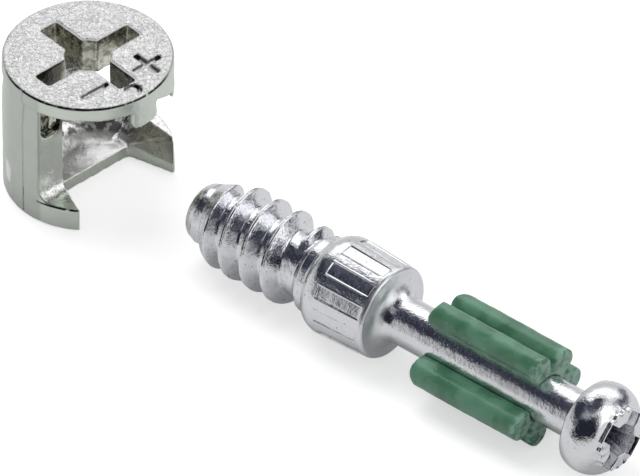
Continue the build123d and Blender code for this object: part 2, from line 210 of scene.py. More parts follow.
class Nodes:
    """A material's node tree with short calls for the nodes that the looks are built from."""

    def __init__(self, name):
        self.material = bpy.data.materials.new(name)
        self.material.use_nodes = True
        self.tree = self.material.node_tree
        self.shader = self.tree.nodes["Principled BSDF"]
        self.coords = self.tree.nodes.new("ShaderNodeTexCoord").outputs["Object"]

    def link(self, value, socket):
        """Wires a value from another node, or sets a number, a vector or a colour."""
        if isinstance(value, (int, float)):
            socket.default_value = value
        elif isinstance(value, tuple):
            is_color = len(socket.default_value) == 4
            socket.default_value = (*value, 1.0) if is_color else value
        else:
            self.tree.links.new(value, socket)

    def math(self, operation, a, b=0.0, c=0.0):
        node = self.tree.nodes.new("ShaderNodeMath")
        node.operation = operation
        for value, socket in zip((a, b, c), node.inputs):
            self.link(value, socket)
        return node.outputs[0]

    def vector(self, operation, a, b=(0.0, 0.0, 0.0)):
        node = self.tree.nodes.new("ShaderNodeVectorMath")
        node.operation = operation
        self.link(a, node.inputs[0])
        self.link(b, node.inputs[1])
        return node.outputs["Value" if operation in ("DOT_PRODUCT", "LENGTH") else "Vector"]

    def product(self, first, *others):
        """Of masks: 1 only where all are."""
        for other in others:
            first = self.math("MULTIPLY", first, other)
        return first

    def largest(self, first, *others):
        """Of masks: 1 wherever one of them is."""
        for other in others:
            first = self.math("MAXIMUM", first, other)
        return first

    def invert(self, mask):
        return self.math("SUBTRACT", 1.0, mask)

    def split(self, vector):
        node = self.tree.nodes.new("ShaderNodeSeparateXYZ")
        self.link(vector, node.inputs[0])
        return node.outputs

    def noise(self, size, detail=2.0, rough=0.5, distortion=0.0):
        """Cloud noise whose features are about size millimetres across, from 0 to 1."""
        node = self.tree.nodes.new("ShaderNodeTexNoise")
        self.link(self.coords, node.inputs["Vector"])
        node.inputs["Scale"].default_value = 1.0 / (size * MM)
        node.inputs["Detail"].default_value = detail
        node.inputs["Roughness"].default_value = rough
        node.inputs["Distortion"].default_value = distortion
        return node.outputs["Fac"]

    def cells(self, size):
        """Distance to the nearest of points that lie about size millimetres apart."""
        node = self.tree.nodes.new("ShaderNodeTexVoronoi")
        self.link(self.coords, node.inputs["Vector"])
        node.inputs["Scale"].default_value = 1.0 / (size * MM)
        return node.outputs["Distance"]

    def range(self, value, low, high, to_low=0.0, to_high=1.0):
        """to_low where value is under low, to_high where it is over high, smooth between."""
        node = self.tree.nodes.new("ShaderNodeMapRange")
        node.interpolation_type = "SMOOTHSTEP"
        self.link(value, node.inputs["Value"])
        node.inputs["From Min"].default_value = low
        node.inputs["From Max"].default_value = high
        node.inputs["To Min"].default_value = to_low
        node.inputs["To Max"].default_value = to_high
        return node.outputs["Result"]

    def band(self, value, unit, rise=None, fall=None):
        """1 where value is past rise and short of fall, 0 elsewhere. Each of the two is where
        a smooth change starts and ends, in multiples of unit; None leaves that side open."""
        ends = []
        if rise:
            ends.append(self.range(value, rise[0] * unit, rise[1] * unit))
        if fall:
            ends.append(self.range(value, fall[0] * unit, fall[1] * unit, 1.0, 0.0))
        return self.product(*ends)

    def mix(self, factor, a, b):
        node = self.tree.nodes.new("ShaderNodeMix")
        node.data_type = "RGBA"
        self.link(factor, node.inputs[0])
        self.link(a, node.inputs[6])
        self.link(b, node.inputs[7])
        return node.outputs[2]

    def bump(self, height, depth, normal=None):
        """A bump whose height of 1 stands depth millimetres proud."""
        node = self.tree.nodes.new("ShaderNodeBump")
        node.inputs["Distance"].default_value = depth * MM
        node.inputs["Strength"].default_value = 1.0
        self.link(height, node.inputs["Height"])
        if normal:
            self.link(normal, node.inputs["Normal"])
        return node.outputs["Normal"]

    def finish(self, color, roughness, normal, **constants):
        self.link(color, self.shader.inputs["Base Color"])
        self.link(roughness, self.shader.inputs["Roughness"])
        self.link(normal, self.shader.inputs["Normal"])
        for name, value in constants.items():
            self.shader.inputs[name.replace("_", " ")].default_value = value
        return self.material


def cam_places(n):
    """Masks over the cam housing, each 1 in the place it is named after and 0 elsewhere. A
    place is given by height, distance from the axis and turn about it, in millimetres and
    degrees, as pairs of where an edge of the place starts and ends."""
    x, y, z = n.split(n.coords)
    reach = n.math("SQRT", n.math("ADD", n.product(x, x), n.product(y, y)))
    turn = n.math("ARCTAN2", y, x)

    def height(rise=None, fall=None):
        return n.band(z, MM, rise, fall)

    def radius(rise=None, fall=None):
        return n.band(reach, MM, rise, fall)

    def angle(rise=None, fall=None):
        return n.band(turn, DEGREE, rise, fall)

    def back(rise=None, fall=None):
        return n.band(y, MM, rise, fall)

    def under_top(start, end):
        return DISC_TOP - start, DISC_TOP - end

    def upright(spot_x, spot_y, size):
        """1 within size of an upright line through (spot_x, spot_y), 0 beyond."""
        across = n.math("SUBTRACT", x, spot_x * MM)
        along = n.math("SUBTRACT", y, spot_y * MM)
        square = n.math("ADD", n.product(across, across), n.product(along, along))
        return n.band(n.math("SQRT", square), MM, None, (size - 0.04, size + 0.04))

    signs = n.largest(*(upright(*sign) for sign in SIGN_REACHES))
    shadow_spots = n.largest(*(upright(*dot, SIGN_SHADOW_RADIUS) for dot in SIGN_SHADOW_SPOTS))
    inside = radius(None, (4.5, 4.6))
    pocket = n.product(inside, height(None, (6.4, 7.6)))
    # Less than 1.2 mm along this direction lies behind the flat of the left-hand jaw
    jaw = n.math("MULTIPLY_ADD", x, 0.66, n.product(y, -0.75))
    flank = n.product(n.band(jaw, MM, (1.18, 1.22)), back(None, (-2.0, -1.9)), height((2.2, 2.4)))
    # The right-hand horn's face stands on a foot that sinks towards the rim
    foot = n.math("MULTIPLY_ADD", reach, -0.125, 1.47 * MM)
    over_foot = n.band(n.math("SUBTRACT", z, foot), MM, (0.0, 0.05))
    from_seam = n.math("ABSOLUTE", n.math("SUBTRACT", turn, -138.9 * DEGREE))
    return {
        "top": n.product(
            n.largest(height(under_top(0.15, 0.09)),
                      n.product(signs, height(under_top(0.40, 0.33)))),
            radius(None, (5.84, 5.90))),
        "cross": n.product(inside, height((6.4, 7.6))),
        # Painted light: the cross's far walls, which are painted lighter as if lit
        "cross_lit_far_walls": back((-0.8, -0.4)),
        # Painted highlight: a thin white line round the cross's rim
        "cross_edge_highlight": n.product(
            inside, n.invert(signs),
            height(under_top(0.15, 0.12), under_top(0.07, 0.035))),
        # Painted shade on the walls of the engraved signs
        "sign_wall_shade": n.product(signs, height(under_top(0.27, 0.23), under_top(0.10, 0.05))),
        # Painted shadow: dark spots at the signs' far ends
        "sign_shadow_spots": n.product(shadow_spots, height(under_top(0.5, 0.4), under_top(0.09, 0.05))),
        # Painted dark reflection along the disc's front top edge
        "disc_edge_dark_reflection": n.product(
            height(under_top(0.17, 0.11)), radius((5.86, 5.92)),
            angle((-172, -150), (-30, -12))),
        "pocket": pocket,
        "pocket_lining": n.product(pocket, height((0.90, 0.95)), n.invert(flank)),
        # Painted shade on the pocket's back wall under the disc
        "pocket_back_shade": n.product(height((1.22, 1.45)), back((1.0, 1.6))),
        "over_floor": n.range(z, 1.9 * MM, 2.3 * MM, -0.2, 1.0),
        "outer_wall": radius((5.2, 5.4)),
        "front_wall": n.product(angle((-178, -150), (-126, -122)), radius((5.70, 5.84))),
        "left_horn_top": n.product(
            angle((-127, -123), (-75, -65)), height((1.95, 2.05), (3.6, 4.4)),
            radius((4.4, 4.6), (5.80, 5.86))),
        # Painted shade along the left-hand horn's edge under its top facet
        "left_horn_edge_shade": n.product(
            angle((-128, -125), (-98, -95)), height((1.72, 1.76), (1.86, 1.90)),
            radius((5.84, 5.88))),
        # Painted shade: the right-hand horn's inner face is painted dull olive
        "right_horn_face": n.product(
            over_foot, angle((-42, -38), (30, 50)), height(None, (4.4, 4.8)),
            radius((2.0, 2.7), (5.86, 5.92))),
        "right_horn_top": n.product(
            angle((2.865, 5.73), (50, 60)), height((2.50, 2.56), (2.70, 2.76)),
            radius((4.4, 4.6), (5.88, 5.94))),
        # Painted shade: the window's walls and the pocket seen through it are painted dark olive
        "window": n.product(
            upright(-2.5, -3.5, 1.35), height((6.95, 7.05)), n.band(jaw, MM, None, (1.16, 1.24))),
        "seen_through_window": n.product(
            upright(-2.75, 2.5, 1.0), height((1.7, 2.1), (3.3, 3.9))),
        "seam": n.product(
            n.band(from_seam, DEGREE, None, (0.344, 0.917)), radius((5.5, 5.6)),
            height(None, under_top(0.3, 0.2))),
        "seam_low_end": height(None, (2.2, 2.8)),
    }


def cast_zinc():
    """Grainy bright casting on top of the disc, smooth greenish grey on the walls and shiny in the
    pocket. Painted shade: dark patches on the pocket's back wall under the disc, dark near walls in
    the cross, dull olive on the right-hand horn's inner face and dark olive in and behind the
    window; the cross's far walls are painted lighter as lit. Painted dark lines follow the disc's
    edge as a dark reflection, and the left-hand horn's edge and the signs' walls as shade. Painted
    shadow spots sit at the signs' far ends, and painted highlights run round the cross's rim and
    lie on the left of the outer wall. A fine parting line runs up the wall."""
    n = Nodes("cast_zinc")
    at = cam_places(n)
    grain = n.noise(0.28, 3.0, 0.6, 1.8)
    fine = n.noise(0.09, 2.0, 0.5)
    worn = n.noise(1.6, 3.0, 0.6)
    streak = n.noise(0.5, 2.0, 0.5)
    speckle = n.range(grain, 0.38, 0.52)
    white = (1.0, 1.0, 1.0)

    # Painted shade: dark patches on the pocket's back wall under the disc
    pocket_shade_patches = n.product(at["pocket_back_shade"], n.range(streak, 0.40, 0.54))
    # Painted shade and painted light in the cross: near walls painted dark, far walls painted
    # lighter as lit
    shaded_near_walls = n.mix(streak, (0.09, 0.09, 0.075), (0.21, 0.205, 0.17))
    lit_far_walls = n.mix(n.range(streak, 0.35, 0.65), (0.32, 0.315, 0.27), (0.82, 0.81, 0.72))
    # Painted shade in the window and behind it
    window_shade = n.largest(at["window"], at["seen_through_window"])
    # Painted shade and dark reflection: dark lines along the disc's edge, the left-hand horn's edge
    # and the signs
    painted_dark_lines = n.largest(
        n.product(at["disc_edge_dark_reflection"], n.range(streak, 0.30, 0.46)),
        n.product(at["left_horn_edge_shade"], n.range(streak, 0.30, 0.42)),
        n.product(at["sign_wall_shade"], 0.75),
        at["sign_shadow_spots"],
    )
    # Painted highlight: a ragged white patch on the left of the outer wall
    from_painted_highlight = n.vector("SUBTRACT", n.coords, (-5.6 * MM, -2.15 * MM, 2.4 * MM))
    from_painted_highlight = n.vector("LENGTH", n.vector("MULTIPLY", from_painted_highlight, (1.0, 1.0, 0.5)))
    from_painted_highlight = n.math("MULTIPLY_ADD", streak, 0.5 * MM, from_painted_highlight)
    dented = n.math("MULTIPLY_ADD", at["seam_low_end"], 0.7, 0.3)
    dented = n.product(dented, n.range(fine, 0.42, 0.58, 0.15, 1.0))

    # Each layer covers the ones before it where its mask is 1
    layers = (
        (at["pocket_lining"], n.mix(pocket_shade_patches, (0.92, 0.91, 0.92), (0.24, 0.235, 0.24))),
        (at["left_horn_top"], n.mix(speckle, (0.55, 0.54, 0.48), white)),
        (at["front_wall"], n.mix(worn, (0.53, 0.575, 0.52), (0.60, 0.645, 0.59))),
        (at["cross"], n.mix(at["cross_lit_far_walls"], shaded_near_walls, lit_far_walls)),
        # Painted shade on the right-hand horn's inner face
        (at["right_horn_face"], n.mix(streak, (0.46, 0.46, 0.385), (0.68, 0.67, 0.575))),
        (at["right_horn_top"], n.mix(speckle, (0.66, 0.65, 0.61), white)),
        (window_shade, n.mix(n.range(streak, 0.42, 0.52), (0.09, 0.09, 0.07), (0.50, 0.51, 0.43))),
        (at["top"], n.mix(n.range(grain, 0.36, 0.54), (0.62, 0.62, 0.615), white)),
        (at["cross_edge_highlight"], (0.95, 0.95, 0.95)),
        (painted_dark_lines, (0.03, 0.03, 0.03)),
        (n.range(from_painted_highlight, 0.55 * MM, 0.85 * MM, 0.85, 0.0), white),
        (n.product(at["seam"], dented), (0.10, 0.11, 0.10)),
    )
    color = n.mix(worn, (0.66, 0.72, 0.65), (0.78, 0.83, 0.76))
    for mask, tone in layers:
        color = n.mix(mask, color, tone)

    roughness = n.range(at["top"], 0.0, 1.0, 0.20, 0.26)
    roughness = n.math("MULTIPLY_ADD", streak, 0.12, roughness)
    roughness = n.math("MULTIPLY_ADD", at["outer_wall"], 0.06, roughness)
    polish = n.product(at["pocket"], at["over_floor"])
    roughness = n.math("MULTIPLY_ADD", polish, -0.15, roughness)

    normal = n.bump(worn, 0.08)
    normal = n.bump(at["seam"], 0.05, normal)
    normal = n.bump(n.product(grain, n.range(at["top"], 0.0, 1.0, 0.12, 1.0)), 0.075, normal)
    normal = n.bump(fine, 0.006, normal)
    # The painted highlight round the cross's rim is not metal
    n.link(n.invert(at["cross_edge_highlight"]), n.shader.inputs["Metallic"])
    return n.finish(color, roughness, normal)


def bolt_station(n):
    """How far along the bolt a point is from the shoulder, and how far from its axis, both in
    metres: s = (p - shoulder) . along and r = sqrt(|p - shoulder|^2 - s^2)."""
    from_shoulder = n.vector("SUBTRACT", n.coords, tuple(v * MM for v in SHOULDER))
    station = n.vector("DOT_PRODUCT", from_shoulder, tuple(ALONG))
    length = n.vector("LENGTH", from_shoulder)
    square = n.math("SUBTRACT", n.product(length, length), n.product(station, station))
    return station, n.math("SQRT", n.math("MAXIMUM", square, 0.0))


def plated_steel():
    """Bright zinc plating: mirror-like with a hammered, slightly cracked skin, duller and paler
    patches, dark flecks where the blows of forming show, most on the thread, a dull end of the
    collar, and painted shade inside the head's recess."""
    n = Nodes("plated_steel")
    station, reach = bolt_station(n)
    patches = n.noise(1.3, 3.0, 0.6)
    peel = n.noise(0.22, 3.0, 0.6, 0.6)
    fine = n.noise(0.07, 2.0, 0.5)
    dents = n.noise(0.8, 2.0, 0.5)
    collar_end = n.band(station, MM, (5.5, 5.65), (6.3, 6.8))
    roughness = n.range(patches, 0.40, 0.66, 0.06, 0.20)
    roughness = n.largest(roughness, n.product(collar_end, 0.34))

    color = n.mix(patches, (0.80, 0.815, 0.86), (0.90, 0.90, 0.91))
    more_on_thread = n.range(station, -0.8 * MM, 0.2 * MM, 0.03, 0.0)
    less_on_shaft = n.range(station, 4.5 * MM, 6.5 * MM, 1.0, 0.45)
    fleck = n.range(n.math("ADD", peel, more_on_thread), 0.64, 0.70)
    fleck = n.product(fleck, less_on_shaft, 0.75)
    color = n.mix(fleck, color, (0.10, 0.10, 0.13))
    # Painted shade inside the head's cross recess
    recess = n.product(
        n.band(station, MM, (HEAD_CENTRE - 0.9, HEAD_CENTRE - 0.7), (FACE - 1.7, FACE - 0.2)),
        n.band(reach, MM, None, (2.28, 2.34)))
    color = n.mix(recess, color, (0.22, 0.22, 0.26))

    normal = n.bump(dents, 0.03)
    normal = n.bump(peel, 0.022, normal)
    normal = n.bump(fine, 0.004, normal)
    return n.finish(color, roughness, normal, Metallic=1.0)


def green_plastic():
    """Moulded green plastic, a little waxy, with faint clouds, a few pale nicks and pale
    ragged flash round the end that faces the bolt's head."""
    n = Nodes("green_plastic")
    station, _ = bolt_station(n)
    cloud = n.noise(1.8, 1.0, 0.5)
    fine = n.noise(0.14, 2.0, 0.5)
    ragged = n.noise(0.5, 3.0, 0.6)
    nick = n.range(n.cells(0.9), 0.0, 0.085, 1.0, 0.0)
    color = n.mix(n.range(cloud, 0.28, 0.72), (0.060, 0.182, 0.102), (0.118, 0.288, 0.190))
    flash = n.product(n.band(station, MM, (19.1, 19.6)), n.range(ragged, 0.38, 0.58), 0.7)
    color = n.mix(n.largest(nick, flash), color, (0.32, 0.51, 0.43))
    roughness = n.range(cloud, 0.3, 0.7, 0.22, 0.32)
    normal = n.bump(n.noise(0.9, 1.0, 0.5), 0.04)
    normal = n.bump(fine, 0.004, normal)
    material = n.finish(color, roughness, normal, Subsurface_Weight=0.3,
                        Subsurface_Scale=0.4 * MM, Specular_IOR_Level=0.7)
    n.shader.inputs["Subsurface Radius"].default_value = (0.6, 1.0, 0.7)
    return material


# The connecting bolt's surfaces

def thread_surface(material):
    """The threaded end. Rows follow the helix: a point's station is RIDGE_START + gap +
    LEAD * (lead + turn / 2 pi), with gap its distance from the nearest crest and lead that
    crest's count, so a row runs on into the same row of the next lead. Its radius is the
    larger of the core and a trapezoid ridge round the nearest crest, with a fine seam along
    the crest. The ridge runs in under a cone from the tip and fades out."""
    cols = 288
    seam_depth, seam_width = 0.05, 0.035
    cone_length = 2.2
    neck_length = 0.75
    fade_in = (-0.1, 0.12)
    fade_out = (RIDGE_TURNS - 0.45, RIDGE_TURNS)
    half_lead = LEAD / 2
    across = np.concatenate((
        np.linspace(-half_lead, -CREST_HALF, 13, endpoint=False),
        np.linspace(-CREST_HALF, CREST_HALF, 17, endpoint=False),
        np.linspace(CREST_HALF, half_lead, 13, endpoint=False),
    ))
    leads = np.arange(-1, 7)
    turn = np.linspace(0.0, 2 * pi, cols, endpoint=False)
    gap = np.tile(across, len(leads))[:, None]
    crest_turn = leads.repeat(len(across))[:, None] + turn / (2 * pi)
    station = RIDGE_START + gap + LEAD * crest_turn
    phase = (turn + RIDGE_TURN) % (2 * pi)

    waver = 0.03 * noise(on_bolt(3.0, phase, station), 0.9, 3)
    seam = seam_depth * np.exp(-(gap / seam_width) ** 2)
    flank = FLANK_TOP - FLANK_SLOPE * (np.abs(gap) - FLANK_TOP_REACH)
    ridge = np.minimum(flank, CREST + waver) - seam
    under_core = CORE - 0.3
    run_in = CORE + (CREST - CORE) * (station - THREAD_START) / cone_length
    ridge = np.minimum(ridge, np.maximum(run_in, under_core))
    starts = smooth(*fade_in, crest_turn)
    ends = 1 - smooth(*fade_out, crest_turn)
    ridge = under_core + (ridge - under_core) * starts * ends
    core = CORE + (NECK - CORE) * smooth(THREAD_END - neck_length, THREAD_END, station)
    radius = soft_max(ridge, core, 0.07)
    points = on_bolt(radius, phase, station)
    radius = radius + 0.012 * noise(points, 0.35, 5) + 0.02 * noise(points, 1.1, 6)

    points = on_bolt(radius, phase, np.clip(station, THREAD_START, THREAD_END))
    faces = grid_faces(len(leads) * len(across), cols, len(across))
    face_stations = station.reshape(-1)[faces]
    kept = (face_stations.max(axis=1) > THREAD_START) & (face_stations.min(axis=1) < THREAD_END)
    return make_piece("bolt_thread", points, faces[kept], material, "bolt")


def lathe(name, stations, radii, cols, material, rough, relief=None):
    """A surface turned about the bolt's axis from stations and radii, one row each. The radius
    may be changed by relief(turn, station, radius), and is uneven by about rough."""
    turn = np.linspace(0.0, 2 * pi, cols, endpoint=False)[None, :]
    station = np.asarray(stations, dtype=float)[:, None]
    radius = np.asarray(radii, dtype=float)[:, None] + 0.0 * turn
    if relief:
        radius = relief(turn, station, radius)
    points = on_bolt(radius, turn, station)
    uneven = noise(points, 0.9, 11) + 0.4 * noise(points, 0.35, 12)
    radius = radius + rough * uneven * smooth(0.0, 0.3, radius)
    points = on_bolt(radius, turn, station)
    faces = grid_faces(len(stations), cols)
    return make_piece(name, points, faces, material, "bolt")


def arc(centre, radius, start, end, count):
    """Points of a circular arc in (station, radius), angles in degrees from the axis."""
    t = np.radians(np.linspace(start, end, count))
    return centre[0] + radius * np.cos(t), centre[1] + radius * np.sin(t)


def join(*runs):
    """Runs of (stations, radii) put end to end, points that repeat left out."""
    s = np.concatenate([np.atleast_1d(r[0]) for r in runs]).astype(float)
    q = np.concatenate([np.atleast_1d(r[1]) for r in runs]).astype(float)
    keep = np.concatenate(([True], np.hypot(np.diff(s), np.diff(q)) > 1e-5))
    return s[keep], q[keep]


def straight(s0, r0, s1, r1, count):
    """Evenly spaced points of a straight run in (station, radius)."""
    return np.linspace(s0, s1, count), np.linspace(r0, r1, count)


def tip_surface(material):
    """The blunt tip: a flat end, a rounded edge and a cone that reaches a little way into the
    thread's core."""
    cone_start = TIP + 0.42
    cone_end = THREAD_START + 0.02
    s, q = join(
        straight(TIP, 0.0, TIP, TIP_RADIUS, 10),
        arc((TIP + TIP_EDGE, TIP_RADIUS), TIP_EDGE, 180, 100, 10),
        straight(cone_start, TIP_RADIUS + TIP_EDGE, cone_end, CORE, 8),
    )
    return lathe("bolt_tip", s, q, 160, material, 0.012)


def collar_relief(turn, station, radius):
    """Shallow recesses all round. Inside one the radius drops a step and part of the way to
    the flat floor's, which is COLLAR_FLOOR / cos of the angle from the recess's middle, but
    never by more than deepest. A raised lip runs along each side."""
    side_edge, near_end, far_end = (0.43, 0.48), (1.72, 1.80), (5.42, 5.5)
    step, part, deepest = 0.03, 0.25, 0.09
    lip_height, lip_middle, lip_width = 0.025, 0.52, 0.04
    pitch = 2 * pi / RECESSES
    off = (turn - RECESS_TURN + pitch / 2) % pitch - pitch / 2
    across = COLLAR_FLOOR * np.tan(off)
    floor = COLLAR_FLOOR / np.cos(off)
    inside = 1 - smooth(*side_edge, np.abs(across))
    inside = inside * smooth(*near_end, station) * (1 - smooth(*far_end, station))
    drop = np.minimum(deepest, part * np.maximum(radius - floor, 0.0) + step)
    lip = np.exp(-((np.abs(across) - lip_middle) / lip_width) ** 2)
    lip = lip * smooth(1.6, 1.8, station) * (1 - smooth(5.0, 5.5, station))
    return radius - inside * drop + lip_height * lip


def collar_surface(material):
    """The neck, the rounded shoulder, the tapered collar, its end and the fillet to the shaft.
    The shoulder's arc stops short of a right angle, where it meets the neck. Rows lie closest
    where the recesses start and end."""
    run = (COLLAR_SHOULDER ** 2 - (COLLAR_SHOULDER - (COLLAR - NECK)) ** 2) ** 0.5
    t = np.linspace(0.0, 1.0, 14)
    lean = t[::-1] * np.arcsin(run / COLLAR_SHOULDER)
    quarter = t * pi / 2
    edge = COLLAR_LENGTH - COLLAR_EDGE
    taper = (COLLAR_END - COLLAR) / (edge - run)

    def side(s0, s1, count):
        return straight(s0, COLLAR + taper * (s0 - run), s1, COLLAR + taper * (s1 - run), count)

    s, q = join(
        straight(THREAD_END, NECK, 0.0, NECK, 8),
        (run - COLLAR_SHOULDER * np.sin(lean), COLLAR - COLLAR_SHOULDER * (1 - np.cos(lean))),
        side(run, 1.66, 4),
        side(1.68, 1.84, 7),
        side(1.9, 5.4, 30),
        side(5.44, edge, 6),
        (edge + COLLAR_EDGE * np.sin(quarter), COLLAR_END - COLLAR_EDGE * (1 - np.cos(quarter))),
        straight(COLLAR_LENGTH, COLLAR_END - COLLAR_EDGE, COLLAR_LENGTH, SHAFT + FILLET, 4),
        (COLLAR_LENGTH + FILLET * (1 - np.cos(quarter)), SHAFT + FILLET * (1 - np.sin(quarter))),
    )
    return lathe("bolt_collar", s, q, 600, material, 0.012, collar_relief)


def shaft_surface(material):
    """The smooth shaft from the collar's fillet to the head's neck."""
    s, q = straight(COLLAR_LENGTH + FILLET, SHAFT, HEAD_BACK - HEAD_CONE, SHAFT, 120)
    return lathe("bolt_shaft", s, q, 120, material, 0.006)


def bend(radius, station, fall, length, count):
    """An arc that leaves (radius, station) along the axis and falls inwards over a length. Its
    own radius is (fall^2 + length^2) / (2 fall)."""
    size = (fall ** 2 + length ** 2) / (2 * fall)
    t = np.linspace(0.0, np.arcsin(abs(length) / size), count)
    return station + size * np.sin(t) * np.sign(length), radius - size * (1 - np.cos(t))


def rim_dip(turn):
    """How far the raised face's rim draws in: at the four wings, and in fine crimps."""
    wing_dip, wing_width = 0.12, 0.22
    crimp_dip, plain_width = 0.06, 0.3
    off = (turn - DRIVE_TURN + pi / 4) % (pi / 2) - pi / 4
    wings = np.exp(-(off / wing_width) ** 2)
    crimps = (1 + np.cos(CRIMPS * turn)) * (1 - np.exp(-(off / plain_width) ** 2))
    return wing_dip * wings + crimp_dip * crimps


def head_surface(material):
    """The head's back cone, its rounded rim, the dome and the low step of the raised face."""
    cone_top = HEAD_BACK_RADIUS - 0.12
    back_fall = HEAD_RADIUS - HEAD_BACK_RADIUS
    back_s, back_q = bend(HEAD_RADIUS, HEAD_CENTRE, back_fall, HEAD_BACK - HEAD_CENTRE, 14)
    end = HEAD_CENTRE + HEAD_DOME
    step = FACE - FACE_EDGE
    quarter = np.linspace(0, pi / 2, 6)
    s, q = join(
        straight(HEAD_BACK - HEAD_CONE, SHAFT, HEAD_BACK, cone_top, 10),
        (back_s[::-1], back_q[::-1]),
        bend(HEAD_RADIUS, HEAD_CENTRE, HEAD_RADIUS - FACE_RADIUS, HEAD_DOME, 34),
        straight(end, FACE_RADIUS, step, FACE_RADIUS, 6),
        (step + FACE_EDGE * np.sin(quarter), FACE_RADIUS - FACE_EDGE * (1 - np.cos(quarter))),
    )

    def pinch(turn, station, radius):
        """The step's rim draws in a little at each wing of the recess, and is crimped."""
        return radius - rim_dip(turn) * smooth(end - 0.25, end + 0.1, station)

    return lathe("bolt_head", s, q, 320, material, 0.008, pinch)


def face_surface(material):
    """The head's raised face with its cross recess. Over a disc of radius and turn, the depth
    is the distance to the cross's outline over the tangent of the taper, and at most the
    recess's depth. A lip runs round the outline, and crimps and flutes fold the metal."""
    rows, cols = 100, 320
    blend = 0.03
    lip_height, lip_middle, lip_width = 0.05, -0.03, 0.05
    crimp_depth, flute_depth, flute_count = 0.045, 0.05, 16
    turn = np.linspace(0.0, 2 * pi, cols, endpoint=False)[None, :]
    inwards = np.linspace(0.0, 1.0, rows)[:, None]
    radius = (FACE_RADIUS - FACE_EDGE - rim_dip(turn)) * (1 - inwards)
    x = np.abs(radius * np.cos(turn - DRIVE_TURN))
    y = np.abs(radius * np.sin(turn - DRIVE_TURN))
    wing_a = np.minimum(DRIVE_WING_HALF - y, DRIVE_WING_REACH - x)
    wing_b = np.minimum(DRIVE_WING_HALF - x, DRIVE_WING_REACH - y)
    inside = soft_max(soft_max(wing_a, wing_b, blend), DRIVE_MIDDLE - radius, blend)
    depth = np.clip(inside / np.tan(DRIVE_TAPER), 0.0, DRIVE_DEPTH)
    lip = lip_height * np.exp(-((inside - lip_middle) / lip_width) ** 2)
    crimps = crimp_depth * np.cos(CRIMPS * turn) * smooth(1.5, 2.2, radius)
    flutes = flute_depth * np.cos(flute_count * turn)
    flutes = flutes * smooth(0.0, 0.6, depth) * smooth(0.0, 0.4, radius)
    station = FACE - depth + lip + crimps + flutes
    points = on_bolt(radius, turn, station)
    station = station + 0.02 * noise(points, 0.5, 21) + 0.008 * noise(points, 0.2, 22)
    points = on_bolt(radius, turn, station)
    return make_piece("bolt_face", points, grid_faces(rows, cols), material, "bolt")


# The cam housing's engraved signs

def prism(outline, low, high):
    """Points and quads of an upright prism over an outline of an even number of corners,
    its top and bottom strips joining corners from both ends of the outline."""
    outline = np.asarray(outline, dtype=float)
    count = len(outline)
    ends = [np.column_stack((outline, np.full(count, z))) for z in (low, high)]
    ring = np.arange(count)
    sides = np.stack((ring, (ring + 1) % count, (ring + 1) % count + count, ring + count), axis=-1)
    half = np.arange(count // 2 - 1)
    strip = np.stack((half, count - 1 - half, count - 2 - half, half + 1), axis=-1)
    return np.concatenate(ends), np.concatenate((sides, strip, strip[:, ::-1] + count))


def bar(x, y, length, width, turn):
    """The four corners of a bar about (x, y), turned from +X."""
    corners = np.array(((-1, -1), (1, -1), (1, 1), (-1, 1))) * (length / 2, width / 2)
    spin = np.array(((cos(turn), sin(turn)), (-sin(turn), cos(turn))))
    return corners @ spin + (x, y)


def hook(x, y, radius, width, start, end, count=12):
    """A bent bar along an arc about (x, y), angles in degrees."""
    t = np.radians(np.linspace(start, end, count))
    ring = np.column_stack((np.cos(t), np.sin(t)))
    return np.concatenate(((radius + width / 2) * ring, (radius - width / 2) * ring[::-1])) + (x, y)


def sign_cutter(name, outline):
    """A hidden prism that cuts a sign into the disc."""
    points, faces = prism(outline, DISC_TOP - SIGN_DEPTH, DISC_TOP + 0.4)
    piece = make_piece(name, points, faces, None, None)
    piece.hide_render = True
    piece.hide_viewport = True
    return piece


def clean(node, material):
    """Gives a node its material and joins its mesh's doubled points."""
    node.data.materials.clear()
    node.data.materials.append(material)
    weld = node.modifiers.new("weld", "WELD")
    weld.merge_threshold = 1e-6


def soften(node, voxel, passes, grain_name, grain_size, unevenness):
    """Rounds a node's edges by a fine remesh and some passes of smoothing, and makes its
    surface uneven in clouds of grain_size. Lengths are in millimetres."""
    remesh = node.modifiers.new("remesh", "REMESH")
    remesh.mode = "VOXEL"
    remesh.voxel_size = voxel * MM
    remesh.use_smooth_shade = True
    relax = node.modifiers.new("relax", "SMOOTH")
    relax.factor = 0.5
    relax.iterations = passes
    texture = bpy.data.textures.new(grain_name, "CLOUDS")
    texture.noise_scale = grain_size * MM
    texture.noise_depth = 2
    uneven = node.modifiers.new("uneven", "DISPLACE")
    uneven.texture = texture
    uneven.texture_coords = "LOCAL"
    uneven.strength = unevenness * MM
    uneven.mid_level = 0.5


def dress_cam(node, material):
    """The cam housing keeps its own mesh: signs are cut into it, its edges are rounded as a
    casting's are, and it gets a slight unevenness."""
    clean(node, material)
    signs = {
        "sign_minus": bar(*MINUS, 2.4, 0.42, SIGN_TURN),
        "sign_plus_a": bar(*PLUS, 2.5, 0.42, SIGN_TURN),
        "sign_plus_b": bar(*PLUS, 2.5, 0.42, SIGN_TURN - pi / 2),
        "sign_hook": hook(*HOOK, 0.5, 0.3, -30, 190),
    }
    for name, outline in signs.items():
        cut = node.modifiers.new(name, "BOOLEAN")
        cut.operation = "DIFFERENCE"
        cut.solver = "EXACT"
        cut.object = sign_cutter(name, outline)
    soften(node, voxel=0.100, passes=3, grain_name="casting", grain_size=0.9, unevenness=0.05)


def dress_sleeve(node, material):
    """The sleeve keeps its own mesh, with rounded edges and faint sink marks."""
    clean(node, material)
    soften(node, voxel=0.085, passes=12, grain_name="moulding", grain_size=1.2, unevenness=0.09)


# The surroundings

